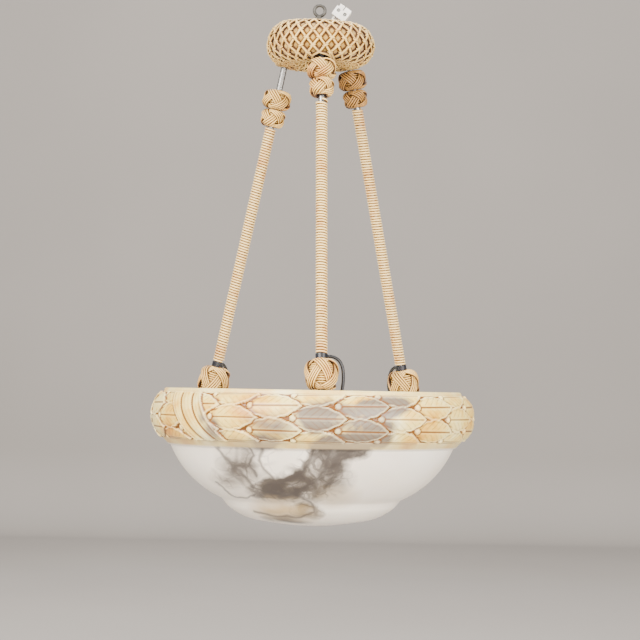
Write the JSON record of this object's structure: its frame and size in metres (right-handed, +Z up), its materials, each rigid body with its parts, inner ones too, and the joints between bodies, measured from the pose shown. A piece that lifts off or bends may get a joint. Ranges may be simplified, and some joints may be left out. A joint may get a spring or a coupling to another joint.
{
  "type": "alabaster bowl pendant",
  "caption": "Carved alabaster uplight bowl hung on leaning cord-wound steel tubes with Turk's head knots, a padded ring canopy and a wire hanging eye.",
  "frame": {"origin": "where the ceiling hook bears in the hanging eye", "axes": "+Z up; -Y towards the viewer of the picture; +X to that viewer's right"},
  "size_m": [0.4002, 0.4001, 0.6563],
  "materials": {
    "alabaster": "carved and waxed alabaster",
    "cord": "wound twisted cord",
    "knotted_cord": "knotted twisted cord",
    "canopy_fabric": "padded cloth under a cord net",
    "board": "sawn board",
    "tube_steel": "bright drawn steel",
    "plated_steel": "zinc plated",
    "dark_steel": "dark bent wire",
    "black_tape": "wound insulating tape",
    "black_flex": "round flex",
    "white_plastic": "moulded plastic",
    "terminal_brass": "turned brass",
    "screw_steel": "zinc plated",
    "white_sleeve": "insulating sleeve",
    "dark_insulation": "insulated wire",
    "red_insulation": "insulated wire",
    "lampholder_plastic": "moulded thermoset",
    "bulb_glass": "frosted bulb",
    "cap_brass": "pressed cap",
    "solder": "solder"
  },
  "bodies": {
    "hanger": {"hanging_eye": "dark_steel", "eye_nut": "plated_steel"},
    "pendant": {"hub_plate": "plated_steel", "tube_nuts": "plated_steel", "canopy_board": "board", "canopy_cover": "canopy_fabric", "terminal_block": "white_plastic", "terminal_inserts": "terminal_brass", "terminal_screws": "screw_steel", "white_lead": "white_sleeve", "dark_lead": "dark_insulation", "red_lead": "red_insulation", "bowl": "alabaster", "hook_nuts": "plated_steel", "holder_nuts": "plated_steel", "crown_knot_right": "knotted_cord", "neck_knot_right": "knotted_cord", "tube_front": "tube_steel", "winding_front": "cord", "winding_rest_front": "cord", "tape_front": "black_tape", "bowl_knot_front": "knotted_cord", "bowl_hook_front": "plated_steel", "lamp_bracket_front": "plated_steel", "lampholder_front": "lampholder_plastic", "lamp_contacts_front": "terminal_brass", "flex_front": "black_flex", "tube_right": "tube_steel", "winding_right": "cord", "winding_rest_right": "cord", "tape_right": "black_tape", "bowl_knot_right": "knotted_cord", "bowl_hook_right": "plated_steel", "lamp_bracket_right": "plated_steel", "lampholder_right": "lampholder_plastic", "lamp_contacts_right": "terminal_brass", "flex_right": "black_flex", "tube_left": "tube_steel", "winding_left": "cord", "winding_rest_left": "cord", "tape_left": "black_tape", "bowl_knot_left": "knotted_cord", "bowl_hook_left": "plated_steel", "lamp_bracket_left": "plated_steel", "lampholder_left": "lampholder_plastic", "lamp_contacts_left": "terminal_brass", "flex_left": "black_flex"},
    "bulb_thread_front": {"bulb_tip_front": "solder"},
    "bulb_front": {"bulb_cap_front": "cap_brass", "bulb_glass_front": "bulb_glass"},
    "bulb_thread_right": {"bulb_tip_right": "solder"},
    "bulb_right": {"bulb_cap_right": "cap_brass", "bulb_glass_right": "bulb_glass"},
    "bulb_thread_left": {"bulb_tip_left": "solder"},
    "bulb_left": {"bulb_cap_left": "cap_brass", "bulb_glass_left": "bulb_glass"},
    "upper_knots_front": {"crown_knot_front": "knotted_cord", "neck_knot_front": "knotted_cord"},
    "upper_knots_left": {"crown_knot_left": "knotted_cord", "neck_knot_left": "knotted_cord"}
  },
  "joints": [
    {"name": "pendant_turn", "type": "hinge", "parent": "hanger", "child": "pendant", "pos_m": [0, 0, -0.056], "axis": [0, 0, 1], "range_deg": [-90, 90]},
    {"name": "bulb_travel_front", "type": "slide", "parent": "pendant", "child": "bulb_thread_front", "axis": [-0.0679, 0.9716, -0.2267], "range_m": [0, 0.0088]},
    {"name": "bulb_turn_front", "type": "hinge", "parent": "bulb_thread_front", "child": "bulb_front", "pos_m": [0.00898, -0.12847, -0.53219], "axis": [-0.0679, 0.9716, -0.2267], "range_deg": [0, 1080]},
    {"name": "bulb_travel_right", "type": "slide", "parent": "pendant", "child": "bulb_thread_right", "axis": [-0.8075, -0.5446, -0.2267], "range_m": [0, 0.0088]},
    {"name": "bulb_turn_right", "type": "hinge", "parent": "bulb_thread_right", "child": "bulb_right", "pos_m": [0.10677, 0.07201, -0.53219], "axis": [-0.8075, -0.5446, -0.2267], "range_deg": [0, 1080]},
    {"name": "bulb_travel_left", "type": "slide", "parent": "pendant", "child": "bulb_thread_left", "axis": [0.8754, -0.427, -0.2267], "range_m": [0, 0.0088]},
    {"name": "bulb_turn_left", "type": "hinge", "parent": "bulb_thread_left", "child": "bulb_left", "pos_m": [-0.11575, 0.05645, -0.53219], "axis": [0.8754, -0.427, -0.2267], "range_deg": [0, 1080]},
    {"name": "upper_knots_slide_front", "type": "slide", "parent": "pendant", "child": "upper_knots_front", "axis": [-0.0158, 0.2261, 0.974], "range_m": [-0.0035, 0.0005]},
    {"name": "upper_knots_slide_left", "type": "slide", "parent": "pendant", "child": "upper_knots_left", "axis": [0.2037, -0.0994, 0.974], "range_m": [0, 0.027]}
  ],
  "couplings": [
    {"joint": "bulb_travel_front", "follows": "bulb_turn_front", "m_per_rad": 0.00044882},
    {"joint": "bulb_travel_right", "follows": "bulb_turn_right", "m_per_rad": 0.00044882},
    {"joint": "bulb_travel_left", "follows": "bulb_turn_left", "m_per_rad": 0.00044882}
  ]
}
